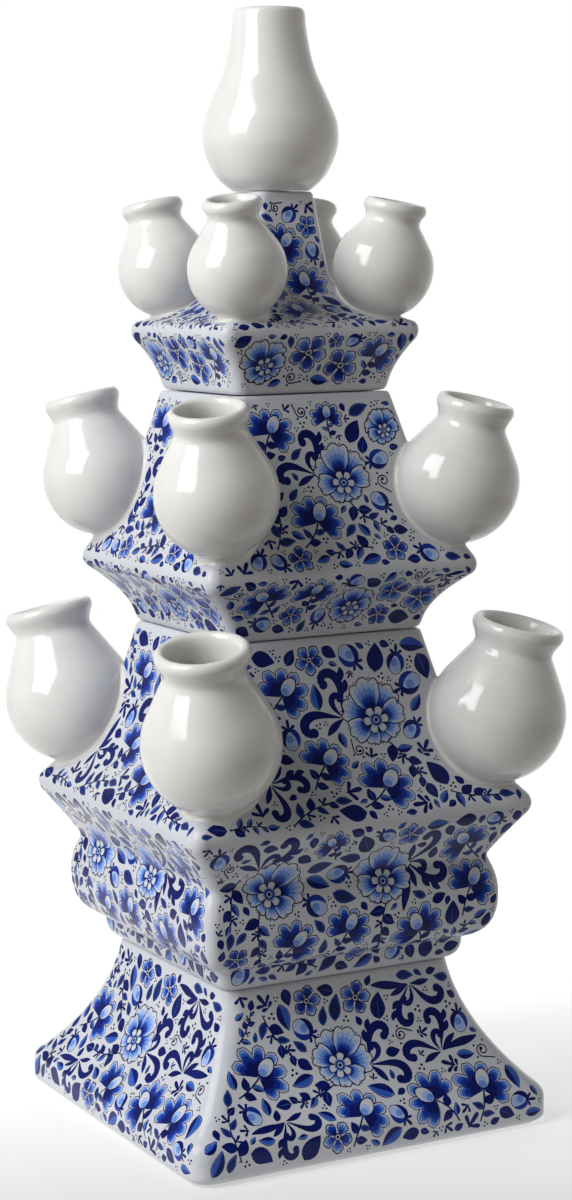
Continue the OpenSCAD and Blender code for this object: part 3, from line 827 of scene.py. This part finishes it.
# TOP TIER
# The smallest reservoir, whose roof draws in to a slim square column that carries the bottle. It has
# the same cove, eave and square spigot as the tier below it.
top_low, top_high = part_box("top_tier")
spigot_z, column_top = top_low.z / MM, top_high.z / MM
top_eave = 286.5
top_base = upper_seam + 0.3
top_outline = softened([
    [(6, upper_seam + 0.1), (20.7, upper_seam + 0.1), (21.5, upper_seam - 1)],
    [(21.5, spigot_z), (25.5, spigot_z), (25.5, top_base), (30.2, top_base)],
    [(30.9, upper_seam + 1.2)],
    arc((31, upper_seam + 1.2), (32.2, 274.65), (38.65, 283.5)),
    arc((38.65, 283.5), (40.2, top_eave), (38.65, 289.5)),
    arc((38.65, 289.5), (17.5, 298.25), (16, 307)),
    [(12, column_top - 0.3), (5.8, column_top - 0.3)],
], 0.6)
cove = row_at(top_outline, upper_seam + 2.0, int(np.argmax(top_outline[:, 0] > 29)))
nose = row_at(top_outline, top_eave, cove)
crown = row_at(top_outline, column_top - 2.5, cove)
top_roof = top_outline[nose:crown + 1]
cove_wishes = open_flowers + wishes(0.8, 0, 2, 30)
top_panels = [
    panel(top_outline, tier_corner, cove, nose, (0.4, 0.8), cove_wishes, 41),
    panel(top_outline, tier_corner, nose, crown, (0.8, 0.8), wishes(0.75, 1, 3, 30), 43,
          (29.1, 308.5, 19.5)),
]
top_tier = square_body("top_tier_glazed", top_outline, tier_corner, top_panels, False)
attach(top_tier, "top_section")
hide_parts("top_tier")

# SPOUTS
# Twelve bulbs with short necks and rolled lips, thrown or cast by themselves, luted with slip on the
# hips of the tiers over a water hole, and dipped in the plain white glaze. A soft fillet of slip
# runs round each where it meets the tier.

# Plain tin glaze: opaque warm white, wet gloss, with a faint ripple and a faint shift of tint where
# it ran thick and thin in the firing. The ripple is drawn at 14 mm, the width of such runs.
white_glaze = bpy.data.materials.new("tin_glaze_plain_white")
white_glaze.use_nodes = True
tree = white_glaze.node_tree
tree.nodes.clear()
where = node(tree, "ShaderNodeTexCoord")
runs = node(tree, "ShaderNodeTexNoise", [("Vector", where.outputs["Object"])],
            Scale=1 / (14 * MM), Detail=2.0)
tint = node(tree, "ShaderNodeValToRGB", [("Fac", runs.outputs["Fac"])])
for stop, share, code in zip(tint.color_ramp.elements, (0.3, 0.7), ("#DAD8D4", "#E0DEDA")):
    stop.position, stop.color = share, linear(code)
ripple = node(tree, "ShaderNodeBump", [("Height", runs.outputs["Fac"])],
              Strength=0.06, Distance=0.4 * MM)
skin = node(tree, "ShaderNodeBsdfPrincipled",
            [("Base Color", tint.outputs["Color"]), ("Normal", ripple.outputs["Normal"])],
            Roughness=0.12, IOR=1.5)
node(tree, "ShaderNodeOutputMaterial", [("Surface", skin.outputs["BSDF"])])


def through(points, steps):
    """A smooth line through all the points: each span is the cubic whose end slopes follow the
    points on either side."""
    p = np.array(points, float)
    q = np.vstack([2 * p[0] - p[1], p, 2 * p[-1] - p[-2]])
    t = np.linspace(0, 1, steps, endpoint=False)[None, :, None]
    a, b, c, d = (q[k:len(p) - 1 + k, None] for k in range(4))
    square, cube = 2 * a - 5 * b + 4 * c - d, 3 * b - a - 3 * c + d
    line = 0.5 * (2 * b + (c - a) * t + square * t ** 2 + cube * t ** 3)
    return np.vstack([line.reshape(-1, 2), p[-1:]])


def ring_mesh(name, grid):
    """A closed skin of plain white glaze over a grid of rings in mm, the last joined to the first."""
    faces = ring_faces(*grid.shape[:2], True)[1].reshape(-1, 4).tolist()
    mesh = bpy.data.meshes.new(name)
    mesh.from_pydata((grid.reshape(-1, 3) * MM).tolist(), [], faces)
    mesh.polygons.foreach_set("use_smooth", np.ones(len(faces), bool))
    mesh.materials.append(white_glaze)
    return put(name, mesh)


def spout(name, corner_angle, roof, size):
    """A bulb on a tier's hip: rings about a leaning axis, cut off where the bulb meets the roof.

    The bulb is a sphere up to 28 degrees over its equator, then one smooth line over shoulder, neck
    and lip and down the mouth to the inner sphere. Round each ray the sphere ends where it enters
    the tier, and a fillet runs from a little before that, bent at the meeting line, out to the tier.
    """
    bulb_r, neck_r, lip_r, mouth_r, rise, drop, out, level, lean, slip = size
    columns, wall, sunk = 72, 3, 0.12
    phi = np.arange(columns) * 2 * np.pi / columns
    radial = np.array([np.cos(corner_angle), np.sin(corner_angle), 0])
    cross = np.array([-np.sin(corner_angle), np.cos(corner_angle), 0])
    axis = np.sin(lean) * radial + np.cos(lean) * np.array([0, 0, 1])
    first = np.cos(lean) * radial - np.sin(lean) * np.array([0, 0, 1])
    around = np.cos(phi)[:, None] * first + np.sin(phi)[:, None] * cross
    centre = out * radial + np.array([0, 0, level])

    def ball(r, theta):
        """Points of the sphere of radius r at the angles theta from its axis."""
        return centre + r * (np.sin(theta)[..., None] * around + np.cos(theta)[..., None] * axis)

    def depth(p):
        """How far points lie outside the tier's round-cornered square at their height."""
        half = np.interp(p[..., 2], roof[:, 1], roof[:, 0]) - tier_corner
        q = np.abs(p[..., :2]) - half[..., None]
        beyond = np.hypot(*np.moveaxis(np.maximum(q, 0), -1, 0))
        return beyond + np.minimum(q.max(-1), 0) - tier_corner

    def entry(r):
        """The angle on each ray at which the sphere of radius r enters the tier."""
        theta = np.linspace(0.9, np.pi, 500)
        return theta[np.argmax(depth(ball(r, np.repeat(theta[:, None], columns, 1))) < 0, 0)]

    def uphill(p):
        """The slope of depth, from steps of 0.05 mm to both sides."""
        step = 0.05
        steps = step * np.eye(3)
        return np.stack([depth(p + s) - depth(p - s) for s in steps], -1) / (2 * step)

    meet = entry(bulb_r)
    meeting = ball(bulb_r, meet)
    band = slip * (1 + 0.16 * np.sin(3 * phi + out) + 0.1 * np.sin(5 * phi + level))
    normal = uphill(meeting)
    normal /= np.linalg.norm(normal, axis=1)[:, None]
    off = (meeting - centre) / bulb_r
    off -= (off * normal).sum(1)[:, None] * normal
    off /= np.linalg.norm(off, axis=1)[:, None]
    ending = meeting + off * band[:, None]
    for _ in range(3):
        g = uphill(ending)
        ending -= g * ((depth(ending) + sunk) / (g * g).sum(1))[:, None]
    start = ball(bulb_r, meet - band / bulb_r)
    t = np.linspace(0, 1, 9)[:, None, None]
    fillet = (1 - t) ** 2 * ending + 2 * t * (1 - t) * meeting + t ** 2 * start
    t = np.linspace(0, 1, 22)[1:, None]
    upper = np.radians(np.linspace(82, 62, 9))
    bulb = ball(bulb_r, (meet - band / bulb_r) * (1 - t) + upper[0] * t)
    inner = bulb_r - wall
    shoulder = bulb_r * np.column_stack([np.sin(upper), np.cos(upper)])
    (edge_r, edge_z), flare, roll = shoulder[-1], lip_r - neck_r, (lip_r - mouth_r) / 4.5
    line = through([
        (edge_r, edge_z), (0.4 * edge_r + 0.6 * neck_r, 0.4 * edge_z + 0.6 * (rise - drop)),
        (neck_r, rise - drop), (neck_r + 0.16 * flare, rise - 0.75 * drop),
        (neck_r + 0.58 * flare, rise - 0.53 * drop), (lip_r - 0.25, rise - 3.8),
        (lip_r, rise - 2.6), (lip_r - 0.45 * roll, rise - 1.1), (lip_r - 1.3 * roll, rise - 0.2),
        (lip_r - 2.2 * roll, rise), (lip_r - 3.1 * roll, rise - 0.35),
        (lip_r - 3.9 * roll, rise - 1.2), (lip_r - 4.35 * roll, rise - 2.8),
        (mouth_r, rise - 5.5), (mouth_r + 0.4, np.sqrt(inner ** 2 - mouth_r ** 2) + 0.6)], 5)
    line = softened([shoulder, line[1:]], 0.8, 0.8)[1:]
    neck = centre + line[:, None, :1] * around + line[:, None, 1:] * axis
    t = np.linspace(0, 1, 14)[:, None]
    hollow = ball(inner, (np.arcsin(mouth_r / inner) + 0.12) * (1 - t) + entry(inner) * t)
    seat = hollow[-1] - 0.15 * normal
    return ring_mesh(name, np.concatenate([fillet, bulb, neck, hollow, seat[None]]))


corners = {"front_left": 225, "front_right": 315, "back_right": 45, "back_left": 135}
# Radii of bulb, neck, lip and mouth, rise of the lip over the bulb's centre, drop from lip to neck,
# the centre's distance out and height, lean, and width of the slip.
spout_sizes = {
    "lower": (24.7, 14.2, 16.7, 12.2, 35.5, 10.0, 82, 150, np.radians(14), 2.6),
    "middle": (22.1, 12.4, 14.1, 10.2, 31.3, 9.0, 67.8, 233, np.radians(14), 2.4),
    "top": (17.9, 9.7, 11.4, 7.8, 25.2, 7.4, 41.2, 308.5, np.radians(12), 2.0),
}
roofs = {"lower": lower_roof, "middle": middle_roof, "top": top_roof}
# No two are quite alike: what each corner's bulb radius, rise, distance out and slip differ by. One
# of the lower spouts stands a degree askew, and one of the top ones has a narrower mouth.
hand_made = {"front_left": (-0.5, 0.0, -0.4, 1.6), "front_right": (0.0, -1.2, 0.0, 0.0),
             "back_right": (-0.2, -0.5, -0.4, 0.4), "back_left": (-0.6, 0.0, -0.8, 0.2)}
askew = {("lower", "front_left"): 1.0}
narrower = {("top", "front_left"): 0.9}
for tier, size in spout_sizes.items():
    for corner_name, degrees in corners.items():
        own = np.array(size)
        own[[0, 4, 6, 9]] += hand_made[corner_name]
        own[1:4] -= narrower.get((tier, corner_name), 0.0)
        angle = np.radians(degrees + askew.get((tier, corner_name), 0.0))
        piece = spout(f"{tier}_spout_{corner_name}_glazed", angle, roofs[tier], own)
        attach(piece, f"{tier}_section")
        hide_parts(f"{tier}_spout_{corner_name}")

# BOTTLE
# A thrown bottle with a round belly and a long drawn-in neck, luted on the column over a water
# hole and dipped in the same plain white glaze.
bottle_low, bottle_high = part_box("bottle")
foot_z, rim_z = bottle_low.z / MM, bottle_high.z / MM
belly = through([
    (5.6, 0.0), (12.8, 0.0), (14.5, 0.7), (18.5, 4), (21.7, 9), (23.9, 15), (24.3, 19.5), (23.9, 24),
    (22.3, 28.6), (19.5, 35), (16.8, 41), (15, 47), (13.8, 53), (13.1, 58), (12.9, 61.2), (12.4, 63.2),
    (11.2, 64), (10.0, 63.2), (9.4, 61), (9.3, 52), (11.5, 45), (16.5, 35), (20.8, 25), (21.3, 17),
    (18, 8), (12, 3.4), (5.6, 3.0)], 5)
belly[:, 1] = np.clip(belly[:, 1], 0, rim_z - foot_z)
bottle_columns = 96
a = np.arange(bottle_columns) * 2 * np.pi / bottle_columns
thrown_rings = np.stack([np.outer(belly[:, 0], np.cos(a)), np.outer(belly[:, 0], np.sin(a)),
                         np.repeat(belly[:, 1:] + foot_z, bottle_columns, 1)], 2)
bottle = ring_mesh("bottle_glazed", thrown_rings)
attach(bottle, "top_section")
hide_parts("bottle")

# STUDIO
# A round of pale paper on the floor under a white backdrop, one large soft box from the left, a
# white card to the right, and the camera of the photo.
into_picture, to_the_right = (0.469, 0.883, 0.0), (0.883, -0.469, 0.0)
off_the_shaded_side = (0.5, -0.866, 0.0)
camera_to_axis = 0.97

# Matt white paper: no gloss, with a painted glow of its own, brighter to the back, which fades out
# to nothing at its rim. Off the vase's shaded side it is painted dark to all rays but the camera's,
# a painted shade that gives the vase little light back, as a dark flag lying there would; the camera
# still sees it pale. Its painted glow widens from where the camera stands.
paper = bpy.data.materials.new("matt_paper_with_painted_glow_and_shade")
paper.use_nodes = True
tree = paper.node_tree
sheet = tree.nodes["Principled BSDF"]
sheet.inputs["Roughness"].default_value = 0.9
sheet.inputs["Emission Color"].default_value = (1, 1, 1, 1)
on_floor = node(tree, "ShaderNodeTexCoord").outputs["Object"]
# Painted shade: off the vase's shaded side the paper turns dark to every ray but the camera's, so the
# vase gets little light back from there while the floor still looks pale.
beside = node(tree, "ShaderNodeVectorMath", [(0, on_floor)], [(1, off_the_shaded_side)],
              operation="DOT_PRODUCT")
pale_outside_painted_shade = node(tree, "ShaderNodeMapRange", [("Value", beside.outputs["Value"])],
               interpolation_type="SMOOTHSTEP", From_Min=0.05, From_Max=0.16, To_Min=0.7, To_Max=0.0)
ray = node(tree, "ShaderNodeLightPath")
pale = node(tree, "ShaderNodeMath",
            [(0, ray.outputs["Is Camera Ray"]), (1, pale_outside_painted_shade.outputs["Result"])], operation="MAXIMUM")
shade = node(tree, "ShaderNodeMix", [(0, pale.outputs["Value"])],
             [(6, linear("#403E3C")), (7, linear("#B6B4B1"))], data_type="RGBA")
tree.links.new(shade.outputs[2], sheet.inputs["Base Color"])
# Painted glow: the paper's own emission, strongest behind the vase and in a wedge that widens from where
# the camera stands, so it shows white and lights the vase from below.
back = node(tree, "ShaderNodeVectorMath", [(0, on_floor)], [(1, into_picture)], operation="DOT_PRODUCT")
back_fade = node(tree, "ShaderNodeMapRange", [("Value", back.outputs["Value"])],
                 interpolation_type="SMOOTHSTEP", From_Min=-0.4, From_Max=0.25, To_Min=0.0, To_Max=1.0)
from_camera = node(tree, "ShaderNodeMath", [(0, back.outputs["Value"])], [(1, camera_to_axis)],
                   operation="ADD")
aside = node(tree, "ShaderNodeVectorMath", [(0, on_floor)], [(1, to_the_right)], operation="DOT_PRODUCT")
off_middle = node(tree, "ShaderNodeMath", [(0, aside.outputs["Value"])], operation="ABSOLUTE")
widening = node(tree, "ShaderNodeMath",
                [(0, off_middle.outputs["Value"]), (1, from_camera.outputs["Value"])],
                operation="DIVIDE")
side_fade = node(tree, "ShaderNodeMapRange", [("Value", widening.outputs["Value"])],
                 interpolation_type="SMOOTHSTEP", From_Min=0.1, From_Max=0.6, To_Min=0.9, To_Max=0.0)
painted_glow = node(tree, "ShaderNodeMath",
             [(0, back_fade.outputs["Result"]), (1, side_fade.outputs["Result"])],
             operation="MULTIPLY")
tree.links.new(painted_glow.outputs["Value"], sheet.inputs["Emission Strength"])
far_out = node(tree, "ShaderNodeVectorMath", [(0, on_floor)], operation="LENGTH")
rim_fade = node(tree, "ShaderNodeMapRange", [("Value", far_out.outputs["Value"])],
                interpolation_type="SMOOTHSTEP", From_Min=0.3, From_Max=0.98, To_Min=0.0, To_Max=1.0)
nothing = node(tree, "ShaderNodeBsdfTransparent")
faded = node(tree, "ShaderNodeMixShader", [
    (0, rim_fade.outputs["Result"]), (1, sheet.outputs["BSDF"]), (2, nothing.outputs["BSDF"])])
tree.links.new(faded.outputs["Shader"], tree.nodes["Material Output"].inputs["Surface"])
floor_mesh = bpy.data.meshes.new("floor")
floor_mesh.from_pydata([(-1, -1, 0), (1, -1, 0), (1, 1, 0), (-1, 1, 0)], [], [(0, 1, 2, 3)])
floor_mesh.materials.append(paper)
floor = put("floor", floor_mesh)

# The room: a white backdrop that glows behind the vase down to the floor, a dimmer card to the
# right, and walls that darken overhead.
world = bpy.data.worlds.new("white_backdrop_in_a_dim_room")
bpy.context.scene.world = world
world.use_nodes = True
tree = world.node_tree
around = node(tree, "ShaderNodeTexCoord").outputs["Generated"]
behind = node(tree, "ShaderNodeVectorMath", [(0, around)], [(1, (0.643, 0.766, 0.0))],
              operation="DOT_PRODUCT")
glow = node(tree, "ShaderNodeMapRange", [("Value", behind.outputs["Value"])],
            From_Min=0.35, From_Max=0.94, To_Min=0.0, To_Max=1.0)
height = node(tree, "ShaderNodeSeparateXYZ", [(0, around)]).outputs["Z"]
above_floor = node(tree, "ShaderNodeMapRange", [("Value", height)], interpolation_type="SMOOTHSTEP",
                   From_Min=-0.42, From_Max=-0.24, To_Min=0.0, To_Max=1.0)
backdrop = node(tree, "ShaderNodeMath",
                [(0, glow.outputs["Result"]), (1, above_floor.outputs["Result"])],
                operation="MULTIPLY")
to_card = node(tree, "ShaderNodeVectorMath", [(0, around)], [(1, (0.985, -0.12, 0.12))],
               operation="DOT_PRODUCT")
card = node(tree, "ShaderNodeMapRange", [("Value", to_card.outputs["Value"])],
            interpolation_type="SMOOTHSTEP", From_Min=0.5, From_Max=1.0, To_Min=0.0, To_Max=0.55)
brighter = node(tree, "ShaderNodeMath",
                [(0, backdrop.outputs["Value"]), (1, card.outputs["Result"])], operation="MAXIMUM")
overhead = node(tree, "ShaderNodeMapRange", [("Value", height)], interpolation_type="SMOOTHSTEP",
                From_Min=0.08, From_Max=0.42, To_Min=0.0, To_Max=1.0)
walls = node(tree, "ShaderNodeMix", [(0, overhead.outputs["Result"])],
             [(6, (0.272, 0.256, 0.238, 1)), (7, (0.06, 0.057, 0.053, 1))], data_type="RGBA")
room = node(tree, "ShaderNodeMix", [(0, brighter.outputs["Value"]), (6, walls.outputs[2])],
            [(7, (1, 1, 1, 1))], data_type="RGBA")
tree.links.new(room.outputs[2], tree.nodes["Background"].inputs["Color"])


def stand(piece, right, up, back, place):
    """Puts a light or a camera at place, with its own X, Y and Z along right, up and back."""
    axes = np.eye(4)
    axes[:3] = np.column_stack([right, up, back, place])
    piece.matrix_world = Matrix(axes.tolist())


lamp = bpy.data.lights.new("soft_box_left", "AREA")
lamp.shape, lamp.size, lamp.size_y, lamp.energy = "RECTANGLE", 0.8, 1.0, 21.2
lamp.color = (0.965, 0.985, 1.0)
lamp_place, lamp_aim = np.array([-1.1, -0.12, 0.88]), np.array([0, 0, 0.2])
lamp_back = lamp_place - lamp_aim
lamp_back /= np.linalg.norm(lamp_back)
lamp_right = np.cross((0, 0, 1), lamp_back)
lamp_right /= np.linalg.norm(lamp_right)
soft_box = put("soft_box_left", lamp)
stand(soft_box, lamp_right, np.cross(lamp_back, lamp_right), lamp_back, lamp_place)

# The camera's place, its turns and its focal length were fitted to the square levels in the photo.
azimuth, distance, camera_height = 0.488316, 0.96091, 0.31373
pitch, yaw, roll = 0.129482, -0.003689, -0.0121954
focal_pixels, frame_height, sensor = 2658.16, 1200, 36
toward = np.array([np.sin(azimuth), np.cos(azimuth)])
level = np.array([*turned(toward, yaw), 0])
right = np.array([level[1], -level[0], 0])
ahead = level * np.cos(pitch) - np.array([0, 0, np.sin(pitch)])
upward = level * np.sin(pitch) + np.array([0, 0, np.cos(pitch)])
camera = put("camera", bpy.data.cameras.new("camera"))
camera.data.sensor_width = sensor
camera.data.lens = focal_pixels / frame_height * sensor
camera.data.clip_start = 0.05
stand(camera, right * np.cos(roll) + upward * np.sin(roll),
      -right * np.sin(roll) + upward * np.cos(roll), -ahead,
      (*(-toward * distance), camera_height))
bpy.context.scene.camera = camera
bpy.context.scene.view_settings.view_transform = "Standard"
